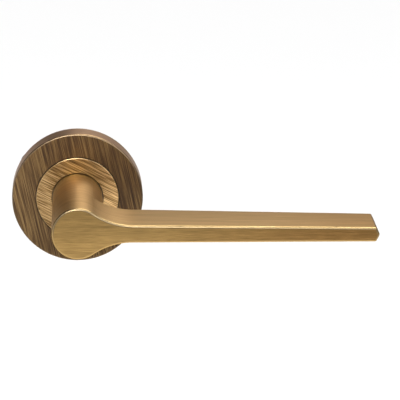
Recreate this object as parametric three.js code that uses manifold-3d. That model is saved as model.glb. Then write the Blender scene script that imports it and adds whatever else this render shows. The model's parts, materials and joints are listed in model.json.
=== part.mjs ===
// A sprung door lever handle on a round rose, in millimetres.
// The origin is on the lever's turning axis at the door's face. +X runs along the lever,
// +Y goes into the door and +Z is up, so the handle stands out of the door towards -Y.
import * as THREE from "three";
import { mergeVertices } from "three/addons/utils/BufferGeometryUtils.js";
import Module from "manifold-3d";

const wasm = await Module();
wasm.setup();

// ---------------------------------------------------------------- driving dimensions

const ROSE_R = 26; // outer radius of the rose
const ROSE_DEPTH = 10; // from the door to the rose's front face
const COVER_WALL = 1.2;
const EDGE = 0.6; // rounding of the rose's front edge
const GAP = 0.2; // between pieces that don't move on each other
const RUNNING = 0.3; // between pieces that do
const ROUND = 48; // facets of a large turned piece
const SMALL_ROUND = 20; // facets of a screw

const NECK_R = 10;
const SPIGOT_R = 8; // the turned-down end of the neck, inside the rose
const SPIGOT_FLAT = 6.8; // half the distance across the spigot's two flats
const SHOULDER_Y = -8.6; // where the neck steps down to the spigot
const SPIGOT_END_Y = -0.2;

const PROJECTION = 62; // from the door to the lever's front face
const REACH = 114.7; // from the turning axis to the lever's tip
const BLADE_ROOT_HALF = 3.4; // half the blade's height where the head's curve runs out
const BLADE_TIP_HALF = 2.8;
const NOSE_TILT = 27; // how far each half of the blunt tip leans back, in degrees
const NOSE_R = 1.5; // rounding of the tip, seen from the front
const CORNER_R = 0.9; // rounding of the two corners beside it
const HEAD_FILLET = 26; // radius of the hollow curve between head and blade
const FRONT_ROUNDING = 0.8; // rounding of the lever's front edges
const BLADE_ROOT_WIDTH = 23.2; // along Y
const BLADE_TIP_WIDTH = 20.2;
const BLADE_TAPER_FROM = 26; // the blade narrows from this distance to the tip

const SPINDLE_HALF = 4; // an 8 mm square spindle
const SPINDLE_INNER_Y = -26;
const SPINDLE_OUTER_Y = 56;
const SPINDLE_CHAMFER = 0.8;
const BORE_HALF = SPINDLE_HALF + 0.15;
const GRUB_Y = -17; // the set screw under the neck
const GRUB_R = 2.4;
const GRUB_HOLE_R = 2.6;
const GRUB_END_Z = -9.3;

const RING_R = 16.4; // the collar ring round the neck
const RING_PROUD = 0.4; // how far it stands out of the rose
const RING_BORE_R = NECK_R + 0.25;
const RING_BACK_Y = -8.7;
const RING_SKIRT_Y = -6.4; // the back of the skirt that grips the plate's tube
const RING_LIP = 0.5; // thickness of the lip that covers the wear ring
const WEAR_RING_R = 11.5;
const WEAR_RING_FRONT_Y = -9.8;
const WEAR_RING_BACK_Y = -8.8;

const PLATE_R = 24.5;
const PLATE_RIM_R = 22.6; // inside of the plate's outer rim
const PLATE_RIM_FRONT_Y = -8.6;
const PLATE_FLOOR_Y = -2;
const BOSS_OUTER_R = 14.8; // the plate's central tube
const BOSS_INNER_R = 13;
const RECESS_R = 12;
const WEB_BACK_Y = -3.4; // the plate's bearing web
const WEB_FRONT_Y = -4.6;
const O_RING_R = 24.25; // to the middle of its section
const O_RING_SECTION_R = 0.5;
const O_RING_Y = -3.6;
const BUSH_SLEEVE_R = 9;
const BUSH_FRONT_Y = -7.1;
const BUSH_FLANGE_R = 11.7;
const BUSH_FLANGE = 0.6; // the flange's thickness
const THRUST_WASHER_FRONT_Y = -2.6;
const THRUST_WASHER_BACK_Y = -2;

const BOLT_X = 19; // bolts stand 38 mm apart
const BOLT_BOSS_R = 4.6;
const BOLT_BOSS_FRONT_Y = -6.2;
const BOLT_SEAT_Y = -3.2;
const BOLT_R = 1.9;
const BOLT_HEAD_R = 3.6;
const BOLT_HEAD = 2.6; // the head's thickness
const BOLT_END_Y = 36;
const COUNTERBORE_R = 4;
const WASHER_R = 3.7;
const WASHER_THICKNESS = 0.6;
const NUT_R = 3.2;
const NUT_HEAD_R = 4.6;
const NUT_HEAD = 2.2;
const NUT_LENGTH = 24;
const WOOD_SCREW_R = 1.9;
const WOOD_SCREW_HEAD_R = 3.4;
const WOOD_SCREW_Z = 19; // above and below the axis
const STUD_R = 3.7;
const STUD_LENGTH = 6;
const DOOR_THICKNESS = 44;

const TURN = 40; // how far the lever can be pressed down, in degrees
const DRIVER_R = 12.4; // the keyed disc behind the lever's shoulder
const DRIVER_FRONT_Y = -8.4;
const DRIVER_BACK_Y = -7.4;
const STOP_TAB_ANGLE = -TURN / 2; // the window in the plate is centred at the top
const STOP_TAB_HALF = 2.2;
const STOP_TAB_R = 14.2;
const LUG_ANGLE = 84; // the lug that winds the spring
const LUG_HALF = 1.5;
const LUG_R = 12.7;
const LUG_BACK_Y = -5.4;

const SPRING_INNER_R = 9.9;
const SPRING_OUTER_R = 11.7;
const SPRING_STRIP = 0.8; // the strip's thickness along the axis
const SPRING_PITCH = 0.84;
const SPRING_FIXED_ANGLE = 180; // angles run from +Z towards +X, as the lever turns
const SPRING_MOVING_ANGLE = 97;
const SPRING_TURNS = (720 - SPRING_FIXED_ANGLE + SPRING_MOVING_ANGLE) / 360;
const SPRING_LEG_HALF = 0.8;
const SPRING_FIXED_LEG_R = 14.4;

const CLIP_Y = -0.8; // the back face of the circlip
const CLIP_THICKNESS = 1;
const CLIP_GROOVE_R = 7.2;
const CLIP_R = 9.8;
const CLIP_OPENING = 26; // half the opening, in degrees
const CLIP_EYE_R = 9.3; // from the axis to the middle of an eye
const CLIP_EYE_OUTER_R = 1.9;
const CLIP_EYE_INNER_R = 0.75;

const radians = THREE.MathUtils.degToRad;

// ---------------------------------------------------------------- solids and booleans

// A closed three.js geometry as a manifold-3d solid.
function solid(geometry) {
  const bare = geometry.index ? geometry.toNonIndexed() : geometry.clone();
  bare.deleteAttribute("normal");
  bare.deleteAttribute("uv");
  const merged = mergeVertices(bare, 1e-4);
  const mesh = new wasm.Mesh({
    numProp: 3,
    vertProperties: merged.attributes.position.array,
    triVerts: new Uint32Array(merged.index.array),
  });
  return new wasm.Manifold(mesh);
}

const join = (first, ...others) => others.reduce((sum, one) => sum.add(one), first);
const cut = (first, ...others) => others.reduce((rest, one) => rest.subtract(one), first);

// A manifold-3d solid as a geometry.
function geometryOf(body) {
  const mesh = body.getMesh();
  const geometry = new THREE.BufferGeometry();
  geometry.setAttribute("position", new THREE.BufferAttribute(mesh.vertProperties, 3));
  geometry.setIndex(new THREE.BufferAttribute(mesh.triVerts, 1));
  return geometry;
}

// Turns a profile of [radius, y] points round the Y axis. It runs anticlockwise in (radius, y).
function turned(profile, facets = ROUND) {
  const points = profile.map(([r, y]) => new THREE.Vector2(r, y));
  if (profile[0][0] > 0) points.push(points[0].clone());
  return solid(new THREE.LatheGeometry(points, facets));
}

const ring = (inner, outer, y0, y1, facets = ROUND) =>
  turned([[inner, y0], [outer, y0], [outer, y1], [inner, y1]], facets);

const disc = (radius, y0, y1, facets = ROUND) =>
  turned([[0, y0], [radius, y0], [radius, y1], [0, y1]], facets);

// A block between two corners.
function block(low, high) {
  const size = high.map((v, i) => v - low[i]);
  const middle = high.map((v, i) => (v + low[i]) / 2);
  return solid(new THREE.BoxGeometry(...size).translate(...middle));
}

// Points along an arc in X and Z. Angles in degrees run from +X towards +Z.
function arc(x, z, radius, from, to, steps) {
  return Array.from({ length: steps + 1 }, (_, i) => {
    const angle = radians(from + ((to - from) * i) / steps);
    return new THREE.Vector2(x + radius * Math.cos(angle), z + radius * Math.sin(angle));
  });
}

// An outline in X and Z, as a prism from yBack to yFront, which is nearer the room.
function prism(outline, yBack, yFront, bevel = { bevelEnabled: false }) {
  const apart = outline.filter((p, i) => p.distanceTo(outline.at(i - 1)) > 1e-3);
  const settings = { depth: yBack - yFront, ...bevel };
  const geometry = new THREE.ExtrudeGeometry(new THREE.Shape(apart), settings);
  return solid(geometry.rotateX(Math.PI / 2).translate(0, yBack, 0));
}

// A sector of a ring between two angles round the axis, which run from +Z towards +X.
function sector(inner, outer, from, to, y0, y1, steps = 12) {
  const [start, end] = [90 - from, 90 - to];
  const outline = [...arc(0, 0, outer, end, start, steps), ...arc(0, 0, inner, start, end, steps)];
  return prism(outline, y1, y0);
}

// A block standing at an angle round the axis: its radial span, its half width and its Y span.
function tab(degrees, inner, outer, halfWidth, y0, y1) {
  const size = [halfWidth * 2, y1 - y0, outer - inner];
  const geometry = new THREE.BoxGeometry(...size).translate(0, (y0 + y1) / 2, (inner + outer) / 2);
  return solid(geometry.rotateY(radians(degrees)));
}

// ---------------------------------------------------------------- materials

const finish = (color, roughness, metalness) =>
  new THREE.MeshStandardMaterial({ color, roughness, metalness });
const satinBrass = finish(0xa88050, 0.38, 1);
const darkBrass = finish(0x6b4c2f, 0.42, 1);
const ringBrass = finish(0xa27c4c, 0.4, 1);
const zinc = finish(0x9a9a98, 0.5, 1);
const steel = finish(0xb4b6b8, 0.3, 1);
const springSteel = finish(0x55585c, 0.35, 1);
const nylon = finish(0xe8e6de, 0.55, 0);
const blackNylon = finish(0x202020, 0.6, 0);
const blackRubber = finish(0x1c1c1c, 0.8, 0);

const handle = new THREE.Group();

function piece(name, body, material) {
  const mesh = new THREE.Mesh(geometryOf(body), material);
  mesh.name = name;
  handle.add(mesh);
}

// ---------------------------------------------------------------- the lever

// The lever's outline from the front: a round head, hollow curves and a slim tapering blade.
function leverOutline() {
  const hollowZ = BLADE_ROOT_HALF + HEAD_FILLET;
  const hollowX = Math.sqrt((NECK_R + HEAD_FILLET) ** 2 - hollowZ ** 2);
  const leave = THREE.MathUtils.radToDeg(Math.atan2(hollowZ, hollowX)); // where the head ends
  const step = 360 / ROUND;
  const first = step * Math.ceil(leave / step + 0.3);
  const steps = Math.round((360 - 2 * first) / step);
  const tilt = radians(NOSE_TILT);
  const noseX = REACH - NOSE_R;
  const cornerZ = BLADE_TIP_HALF - CORNER_R;
  const cornerX = noseX + (NOSE_R - CORNER_R - cornerZ * Math.sin(tilt)) / Math.cos(tilt);
  return [
    ...arc(0, 0, NECK_R, leave, leave, 1),
    ...arc(0, 0, NECK_R, first, 360 - first, steps),
    ...arc(hollowX, -hollowZ, HEAD_FILLET, 180 - leave, 90, 8),
    ...arc(cornerX, -cornerZ, CORNER_R, -90, -NOSE_TILT, 3),
    ...arc(noseX, 0, NOSE_R, -NOSE_TILT, NOSE_TILT, 4),
    ...arc(cornerX, cornerZ, CORNER_R, NOSE_TILT, 90, 3),
    ...arc(hollowX, hollowZ, HEAD_FILLET, -90, leave - 180, 8),
  ];
}

// Everything in front of the blade's back face, which slopes as the blade narrows.
function bladePlan() {
  const shape = new THREE.Shape();
  const clear = NECK_R + 2;
  const front = -PROJECTION - 2;
  const rootY = BLADE_ROOT_WIDTH - PROJECTION;
  const tipY = BLADE_TIP_WIDTH - PROJECTION;
  shape.moveTo(-clear, front);
  shape.lineTo(REACH + 2, front);
  shape.lineTo(REACH + 2, tipY);
  shape.lineTo(BLADE_TAPER_FROM, rootY);
  shape.lineTo(-clear, rootY);
  const geometry = new THREE.ExtrudeGeometry(shape, { depth: 2 * clear, bevelEnabled: false });
  return solid(geometry.translate(0, 0, -clear));
}

function makeLever() {
  const rounding = {
    bevelEnabled: true,
    bevelThickness: FRONT_ROUNDING,
    bevelSize: FRONT_ROUNDING,
    bevelOffset: -FRONT_ROUNDING,
    bevelSegments: 2,
  };
  const backY = BLADE_ROOT_WIDTH - PROJECTION + 3; // past the blade's back face
  const outline = prism(leverOutline(), backY, FRONT_ROUNDING - PROJECTION, rounding);
  const blade = outline.intersect(bladePlan());
  const neck = disc(NECK_R, -PROJECTION + 4, SHOULDER_Y);
  const spigot = disc(SPIGOT_R, SHOULDER_Y - 1, SPIGOT_END_Y);
  const past = NECK_R + 1;
  const flats = [-1, 1].map((side) => {
    const low = Math.min(side * SPIGOT_FLAT, side * past);
    return block([-past, SHOULDER_Y, low], [past, 0, low + past - SPIGOT_FLAT]);
  });
  const slack = GAP / 2;
  const groove = ring(CLIP_GROOVE_R, past, CLIP_Y - CLIP_THICKNESS - slack, CLIP_Y + slack);
  const bore = block([-BORE_HALF, SPINDLE_INNER_Y - GAP, -BORE_HALF], [BORE_HALF, 0, BORE_HALF]);
  const grubHole = solid(
    new THREE.CylinderGeometry(GRUB_HOLE_R, GRUB_HOLE_R, past, SMALL_ROUND)
      .rotateX(Math.PI / 2)
      .translate(0, GRUB_Y, -past / 2),
  );
  return cut(join(blade, neck, spigot), ...flats, groove, bore, grubHole);
}

// A square bar with chamfered ends.
function makeSpindle() {
  const square = arc(0, 0, SPINDLE_HALF * Math.SQRT2, 45, 315, 3);
  return prism(square, SPINDLE_OUTER_Y - SPINDLE_CHAMFER, SPINDLE_INNER_Y + SPINDLE_CHAMFER, {
    bevelEnabled: true,
    bevelThickness: SPINDLE_CHAMFER,
    bevelSize: SPINDLE_CHAMFER,
    bevelOffset: -SPINDLE_CHAMFER,
    bevelSegments: 1,
  });
}

// The set screw under the neck, with a hexagonal socket.
function makeGrubScrew() {
  const inner = -SPINDLE_HALF - GAP;
  const socketDepth = 2.4;
  const socketR = 1.45; // to the corners, for a 2.5 mm key
  const body = new THREE.CylinderGeometry(GRUB_R, GRUB_R, inner - GRUB_END_Z, SMALL_ROUND);
  const socket = new THREE.CylinderGeometry(socketR, socketR, socketDepth * 2, 6);
  return cut(
    solid(body.rotateX(Math.PI / 2).translate(0, GRUB_Y, (inner + GRUB_END_Z) / 2)),
    solid(socket.rotateX(Math.PI / 2).translate(0, GRUB_Y, GRUB_END_Z)),
  );
}

// The keyed disc that carries the stop tab and winds the spring.
function makeSpringDriver() {
  const hole = SPIGOT_R + GAP;
  const flat = SPIGOT_FLAT + GAP;
  const opening = disc(hole, DRIVER_FRONT_Y - 1, DRIVER_BACK_Y + 1).intersect(
    block([-hole - 1, DRIVER_FRONT_Y - 1, -flat], [hole + 1, DRIVER_BACK_Y + 1, flat]),
  );
  const plate = disc(DRIVER_R, DRIVER_FRONT_Y, DRIVER_BACK_Y);
  const root = DRIVER_R - 1.4; // well inside the disc's edge
  const stop = tab(STOP_TAB_ANGLE, root, STOP_TAB_R, STOP_TAB_HALF, DRIVER_FRONT_Y, DRIVER_BACK_Y);
  const lugRoot = tab(LUG_ANGLE, root, LUG_R, LUG_HALF, DRIVER_FRONT_Y, DRIVER_BACK_Y);
  const lug = tab(LUG_ANGLE, LUG_R - 0.7, LUG_R, LUG_HALF, DRIVER_BACK_Y - 0.1, LUG_BACK_Y);
  return cut(join(plate, stop, lugRoot, lug), opening);
}

// The open retaining ring in the spigot's groove, with an eye at each end.
function makeCirclip() {
  const front = CLIP_Y - CLIP_THICKNESS;
  const inner = CLIP_GROOVE_R + GAP / 2;
  const band = ring(inner, CLIP_R, front, CLIP_Y);
  const [from, to] = [180 - CLIP_OPENING, 180 + CLIP_OPENING];
  const opening = sector(0.5, CLIP_R + 3, from, to, front - 1, CLIP_Y + 1);
  const eyes = [-1, 1].map((side) => {
    const angle = radians(180 + side * (CLIP_OPENING + 9));
    const place = [CLIP_EYE_R * Math.sin(angle), 0, CLIP_EYE_R * Math.cos(angle)];
    return {
      solid: disc(CLIP_EYE_OUTER_R, front, CLIP_Y, SMALL_ROUND).translate(place),
      hole: disc(CLIP_EYE_INNER_R, front - 1, CLIP_Y + 1, 12).translate(place),
    };
  });
  const clear = disc(inner, front - 1, CLIP_Y + 1);
  return cut(join(cut(band, opening), ...eyes.map((e) => e.solid)), clear, ...eyes.map((e) => e.hole));
}

// ---------------------------------------------------------------- the rose

// The die-cast plate that is bolted to the door and carries everything else.
function makeMountingPlate() {
  const bushBore = BUSH_SLEEVE_R + 0.15;
  const grooveR = O_RING_R - O_RING_SECTION_R - 0.1;
  const grooveHalf = O_RING_SECTION_R + GAP;
  const base = turned([
    [RECESS_R, 0],
    [RECESS_R, WEB_BACK_Y],
    [bushBore, WEB_BACK_Y],
    [bushBore, WEB_FRONT_Y],
    [BOSS_INNER_R, WEB_FRONT_Y],
    [BOSS_INNER_R, DRIVER_FRONT_Y],
    [BOSS_OUTER_R, DRIVER_FRONT_Y],
    [BOSS_OUTER_R, PLATE_FLOOR_Y],
    [PLATE_RIM_R, PLATE_FLOOR_Y],
    [PLATE_RIM_R, PLATE_RIM_FRONT_Y],
    [PLATE_R, PLATE_RIM_FRONT_Y],
    [PLATE_R, O_RING_Y - grooveHalf],
    [grooveR, O_RING_Y - grooveHalf],
    [grooveR, O_RING_Y + grooveHalf],
    [PLATE_R, O_RING_Y + grooveHalf],
    [PLATE_R, 0],
  ]);
  const inside = PLATE_FLOOR_Y / 2; // within the plate's floor
  const clear = PLATE_RIM_FRONT_Y - 3; // in front of the plate
  const sides = [-1, 1];
  const bosses = sides.map((side) =>
    join(
      disc(BOLT_BOSS_R, BOLT_BOSS_FRONT_Y, inside, 28),
      disc(STUD_R, inside, STUD_LENGTH, 24),
    ).translate([side * BOLT_X, 0, 0]),
  );
  const holes = sides.map((side) =>
    join(
      disc(BOLT_R + 0.4, clear, STUD_LENGTH + 2, 24),
      disc(COUNTERBORE_R, clear, BOLT_SEAT_Y, 28),
    ).translate([side * BOLT_X, 0, 0]),
  );
  // Two countersunk holes for wood screws, above and below the lever.
  const sink = [
    [0, PLATE_FLOOR_Y - 1],
    [WOOD_SCREW_HEAD_R, PLATE_FLOOR_Y - 1],
    [WOOD_SCREW_HEAD_R, PLATE_FLOOR_Y],
    [WOOD_SCREW_R, PLATE_FLOOR_Y + WOOD_SCREW_HEAD_R - WOOD_SCREW_R],
    [WOOD_SCREW_R, 1],
    [0, 1],
  ];
  const woodScrewHoles = sides.map((side) => {
    return turned(sink, 24).translate([0, 0, side * WOOD_SCREW_Z]);
  });
  // The arc in which the stop tab swings, and the slot that holds the spring's fixed leg.
  const tabHalf = THREE.MathUtils.radToDeg(Math.asin(STOP_TAB_HALF / BOSS_INNER_R));
  const slack = 1;
  const [wallInside, wallOutside] = [BOSS_INNER_R - 0.5, BOSS_OUTER_R + 0.3];
  const window = sector(
    wallInside,
    wallOutside,
    STOP_TAB_ANGLE - tabHalf - slack,
    STOP_TAB_ANGLE + TURN + tabHalf + slack,
    DRIVER_FRONT_Y - 1,
    DRIVER_BACK_Y + RUNNING,
  );
  const slotHalf = SPRING_LEG_HALF + RUNNING;
  const slotFront = DRIVER_FRONT_Y - 1;
  const legSlot = tab(SPRING_FIXED_ANGLE, wallInside, wallOutside, slotHalf, slotFront, WEB_FRONT_Y);
  return cut(join(base, ...bosses), ...holes, ...woodScrewHoles, window, legSlot);
}

// The ring that the cover snaps over.
function makeORing() {
  const section = new THREE.TorusGeometry(O_RING_R, O_RING_SECTION_R, 8, ROUND);
  return solid(section.rotateX(Math.PI / 2).translate(0, O_RING_Y, 0));
}

// The turned shell that hides the plate, its front edge rounded.
function makeRoseCover() {
  const front = -ROSE_DEPTH;
  const inside = ROSE_R - COVER_WALL;
  const rounded = [];
  const steps = 4;
  for (let i = 0; i <= steps; i++) {
    const a = (i / steps) * (Math.PI / 2);
    rounded.push([ROSE_R - EDGE + EDGE * Math.sin(a), front + EDGE - EDGE * Math.cos(a)]);
  }
  return turned([
    [RING_R + GAP, front],
    ...rounded,
    [ROSE_R, 0],
    [inside, 0],
    [inside, front + COVER_WALL],
    [RING_R + GAP, front + COVER_WALL],
  ], 64);
}

// The bright collar ring round the neck, pressed on the plate's central tube.
function makeCollarRing() {
  const front = -ROSE_DEPTH - RING_PROUD;
  const chamfer = 0.25;
  return turned([
    [RING_BORE_R, front],
    [RING_R - chamfer, front],
    [RING_R, front + chamfer],
    [RING_R, RING_BACK_Y],
    [RING_R - GAP, RING_BACK_Y],
    [RING_R - GAP, RING_SKIRT_Y],
    [BOSS_OUTER_R + GAP, RING_SKIRT_Y],
    [BOSS_OUTER_R + GAP, RING_BACK_Y],
    [WEAR_RING_R + 0.1, RING_BACK_Y],
    [WEAR_RING_R + 0.1, front + RING_LIP],
    [RING_BORE_R, front + RING_LIP],
  ], 64);
}

// The plain ring under the collar ring's lip, which the neck runs in.
const makeWearRing = () =>
  ring(NECK_R + 0.15, WEAR_RING_R, WEAR_RING_FRONT_Y, WEAR_RING_BACK_Y);

// The flanged bush that the spigot turns in, pushed in from the back.
function makeBearingBush() {
  const bore = SPIGOT_R + RUNNING;
  const flangeFront = WEB_BACK_Y + 0.1;
  return turned([
    [bore, BUSH_FRONT_Y],
    [BUSH_SLEEVE_R, BUSH_FRONT_Y],
    [BUSH_SLEEVE_R, flangeFront],
    [BUSH_FLANGE_R, flangeFront],
    [BUSH_FLANGE_R, flangeFront + BUSH_FLANGE],
    [bore, flangeFront + BUSH_FLANGE],
  ]);
}

// The washer between the bush's flange and the circlip.
const makeThrustWasher = () =>
  ring(SPIGOT_R + 0.25, BUSH_FLANGE_R, THRUST_WASHER_FRONT_Y, THRUST_WASHER_BACK_Y);

// A torsion spring of flat strip: a helix round the axis with a leg turned out at each end.
class SpringLine extends THREE.Curve {
  getPoint(t, target = new THREE.Vector3()) {
    const angle = radians(SPRING_FIXED_ANGLE + 360 * SPRING_TURNS * t);
    const middle = (SPRING_INNER_R + SPRING_OUTER_R) / 2;
    const y = WEB_FRONT_Y - GAP - SPRING_STRIP / 2 - SPRING_PITCH * SPRING_TURNS * t;
    return target.set(middle * Math.sin(angle), y, middle * Math.cos(angle));
  }
}

function makeReturnSpring() {
  const half = (SPRING_OUTER_R - SPRING_INNER_R) / 2;
  const line = new SpringLine();
  const steps = Math.round(SPRING_TURNS * 32);
  const positions = [];
  const corners = [[-1, -1], [-1, 1], [1, 1], [1, -1]]; // radial and axial
  for (let i = 0; i <= steps; i++) {
    const p = line.getPoint(i / steps);
    const out = new THREE.Vector3(p.x, 0, p.z).normalize();
    for (const [r, a] of corners) {
      const corner = p.clone().addScaledVector(out, r * half);
      corner.y += (a * SPRING_STRIP) / 2;
      positions.push(corner);
    }
  }
  const triangles = [];
  const quad = (a, b, c, d) => triangles.push(a, b, c, a, c, d);
  for (let i = 0; i < steps; i++) {
    for (let k = 0; k < 4; k++) {
      const [here, next] = [i * 4, i * 4 + 4];
      const after = (k + 1) % 4;
      quad(here + k, here + after, next + after, next + k);
    }
  }
  quad(3, 2, 1, 0);
  quad(steps * 4, steps * 4 + 1, steps * 4 + 2, steps * 4 + 3);
  const geometry = new THREE.BufferGeometry().setFromPoints(positions);
  geometry.setIndex(triangles);
  const coil = solid(geometry);
  const leg = (angle, outer, y) =>
    tab(angle, SPRING_OUTER_R - 0.9, outer, SPRING_LEG_HALF, y - SPRING_STRIP / 2, y + SPRING_STRIP / 2);
  return join(
    coil,
    leg(SPRING_FIXED_ANGLE, SPRING_FIXED_LEG_R, line.getPoint(0).y),
    leg(SPRING_MOVING_ANGLE, LUG_R, line.getPoint(1).y),
  );
}

// ---------------------------------------------------------------- fixings

// The washer under a bolt's head.
function makeBoltWasher(side) {
  const back = BOLT_SEAT_Y - 0.1;
  const washer = ring(BOLT_R + GAP, WASHER_R, back - WASHER_THICKNESS, back, SMALL_ROUND);
  return washer.translate([side * BOLT_X, 0, 0]);
}

// The bolt that clamps the plate through the door, with a crossed recess in its head.
function makeThroughBolt(side) {
  const seat = BOLT_SEAT_Y - WASHER_THICKNESS - 0.2;
  const top = seat - BOLT_HEAD;
  const crown = 0.9; // the rounding of the head, as a chamfer
  const profile = [
    [0, top],
    [BOLT_HEAD_R - crown, top],
    [BOLT_HEAD_R, top + crown],
    [BOLT_HEAD_R, seat],
    [BOLT_R, seat],
    [BOLT_R, BOLT_END_Y - 0.6],
    [BOLT_R - 0.5, BOLT_END_Y],
    [0, BOLT_END_Y],
  ];
  const [long, thin, deep] = [2, 0.45, top + 1.5]; // the recess's arms
  const cross = [
    block([-long, top - 1, -thin], [long, deep, thin]),
    block([-thin, top - 1, -long], [thin, deep, long]),
  ];
  return cut(turned(profile, SMALL_ROUND), ...cross).translate([side * BOLT_X, 0, 0]);
}

// The barrel nut that takes the bolt from the far side of the door.
function makeSleeveNut(side) {
  const mouth = DOOR_THICKNESS - NUT_LENGTH;
  const head = DOOR_THICKNESS + NUT_HEAD;
  const bore = BOLT_R + 0.25;
  const profile = [
    [bore, mouth],
    [NUT_R, mouth],
    [NUT_R, DOOR_THICKNESS],
    [NUT_HEAD_R, DOOR_THICKNESS],
    [NUT_HEAD_R, head - 0.6],
    [NUT_HEAD_R - 0.6, head],
    [bore, head],
  ];
  const [slotDepth, slotHalf] = [1.2, 0.6];
  const across = NUT_HEAD_R + 1;
  const slot = block([-across, head - slotDepth, -slotHalf], [across, head + 1, slotHalf]);
  return cut(turned(profile, SMALL_ROUND), slot).translate([side * BOLT_X, 0, 0]);
}

// ---------------------------------------------------------------- the assembly

piece("lever", makeLever(), satinBrass);
piece("spindle", makeSpindle(), steel);
piece("grub_screw", makeGrubScrew(), steel);
piece("spring_driver", makeSpringDriver(), steel);
piece("circlip", makeCirclip(), springSteel);
piece("thrust_washer", makeThrustWasher(), steel);
piece("mounting_plate", makeMountingPlate(), zinc);
piece("rose_cover", makeRoseCover(), darkBrass);
piece("collar_ring", makeCollarRing(), ringBrass);
piece("wear_ring", makeWearRing(), blackNylon);
piece("bearing_bush", makeBearingBush(), nylon);
piece("return_spring", makeReturnSpring(), springSteel);
piece("cover_o_ring", makeORing(), blackRubber);
for (const [side, label] of [[-1, "left"], [1, "right"]]) {
  piece(`through_bolt_${label}`, makeThroughBolt(side), steel);
  piece(`bolt_washer_${label}`, makeBoltWasher(side), steel);
  piece(`sleeve_nut_${label}`, makeSleeveNut(side), steel);
}

export default handle;
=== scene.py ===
"""The looks of a sprung door lever handle on a round rose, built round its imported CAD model.

+X runs along the lever, +Y goes into the door and +Z is up. The lever turns about the Y axis.
Lengths are in millimetres until a mesh is made, and meshes are in metres.
"""

import json
import math

import bmesh
import bpy
from mathutils import Matrix, Vector


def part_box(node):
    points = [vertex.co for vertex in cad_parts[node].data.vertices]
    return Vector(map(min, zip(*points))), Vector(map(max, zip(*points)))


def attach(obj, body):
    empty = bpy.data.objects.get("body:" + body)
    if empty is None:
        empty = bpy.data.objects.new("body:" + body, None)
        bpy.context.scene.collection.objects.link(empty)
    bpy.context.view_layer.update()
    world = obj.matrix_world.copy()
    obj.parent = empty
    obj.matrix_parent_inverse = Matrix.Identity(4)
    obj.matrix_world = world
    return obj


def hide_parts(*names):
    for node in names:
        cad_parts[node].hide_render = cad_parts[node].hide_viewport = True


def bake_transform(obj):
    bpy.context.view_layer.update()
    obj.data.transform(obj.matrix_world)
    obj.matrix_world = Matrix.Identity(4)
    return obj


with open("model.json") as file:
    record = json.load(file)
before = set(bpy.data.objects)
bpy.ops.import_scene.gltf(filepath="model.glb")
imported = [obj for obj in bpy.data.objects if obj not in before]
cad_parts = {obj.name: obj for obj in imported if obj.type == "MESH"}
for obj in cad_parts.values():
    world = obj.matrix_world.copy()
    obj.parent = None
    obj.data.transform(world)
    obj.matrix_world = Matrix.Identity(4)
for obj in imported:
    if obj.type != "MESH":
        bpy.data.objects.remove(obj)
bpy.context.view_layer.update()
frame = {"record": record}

MM = 0.001
X, Y, Z = 0, 1, 2
FACETS = 144  # round a large turned piece
SMALL_FACETS = 48  # round a fixing


def low(node, axis):
    """A CAD node's lower limit along an axis, in millimetres."""
    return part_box(node)[0][axis] / MM


def high(node, axis):
    """A CAD node's upper limit along an axis, in millimetres."""
    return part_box(node)[1][axis] / MM


# ---------------------------------------------------------------- sizes

GAP = 0.2  # between pieces that don't move on each other
RUNNING = 0.3  # between pieces that do

ROSE_R = high("rose_cover", X)
ROSE_FRONT = low("rose_cover", Y)
ROSE_EDGE = 0.6  # rounding of the rose's front edge
COVER_WALL = 1.2
RING_R = high("collar_ring", X)
RING_FRONT = low("collar_ring", Y)
RING_BACK = -8.7
RING_SKIRT = -6.4  # the back of the skirt that grips the plate's tube
RING_LIP = 0.5
RING_POCKET_R = 11.6  # holds the wear ring

NECK_R = high("lever", Z)
RING_BORE_R = NECK_R + 0.25
WEAR_RING_BORE_R = NECK_R + 0.15
LEVER_FRONT = low("lever", Y)
REACH = high("lever", X)
BLADE_ROOT_HALF = 3.4  # half the blade's height where the head's curve runs out
BLADE_TIP_HALF = 2.8
NOSE_TILT = 27.0  # how far each half of the blunt tip leans back, in degrees
NOSE_R = 1.5  # rounding of the tip, seen from the front
CORNER_R = 0.9  # rounding of the two corners beside it
HEAD_FILLET = 26.0  # radius of the hollow curve between head and blade
BLADE_ROOT_BACK = LEVER_FRONT + 23.2
BLADE_TIP_BACK = LEVER_FRONT + 20.2
BLADE_TAPER_FROM = 26.0
FRONT_ROUNDING = 0.8
BACK_ROUNDING = 0.5
SHOULDER = -8.6  # where the neck steps down to the spigot
SHOULDER_ROUNDING = 0.3
SPIGOT_R = 8.0
THRUST_WASHER_BORE_R = SPIGOT_R + 0.25
SPIGOT_FLAT = 6.8
SPIGOT_END = high("lever", Y)
SPIGOT_CHAMFER = 0.2
GROOVE_R = 7.2  # the circlip's groove
GROOVE_FRONT, GROOVE_BACK = -1.9, -0.7
BORE_HALF = 4.15
SPINDLE_CHAMFER = 0.8
SPINDLE_ROUNDING = 0.35  # of its four long edges
GRUB_Y = -17.0
GRUB_HOLE_R = 2.6

PLATE_R = high("mounting_plate", X)
PLATE_FRONT = low("mounting_plate", Y)
PLATE_RIM_R = 22.6  # inside of the plate's outer rim
PLATE_FLOOR = -2.0
BOSS_OUTER_R, BOSS_INNER_R = 14.8, 13.0  # the plate's central tube
RECESS_R = 12.0
WEB_BACK, WEB_FRONT = -3.4, -4.6
WEB_BORE_R = 9.15
O_RING_R = 0.5  # of its section
O_RING_GROOVE_R, O_RING_GROOVE_Y, O_RING_GROOVE_HALF = 23.65, -3.6, 0.7
BUSH_SLEEVE_R = 9.0
BUSH_FLANGE = 0.6

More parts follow.
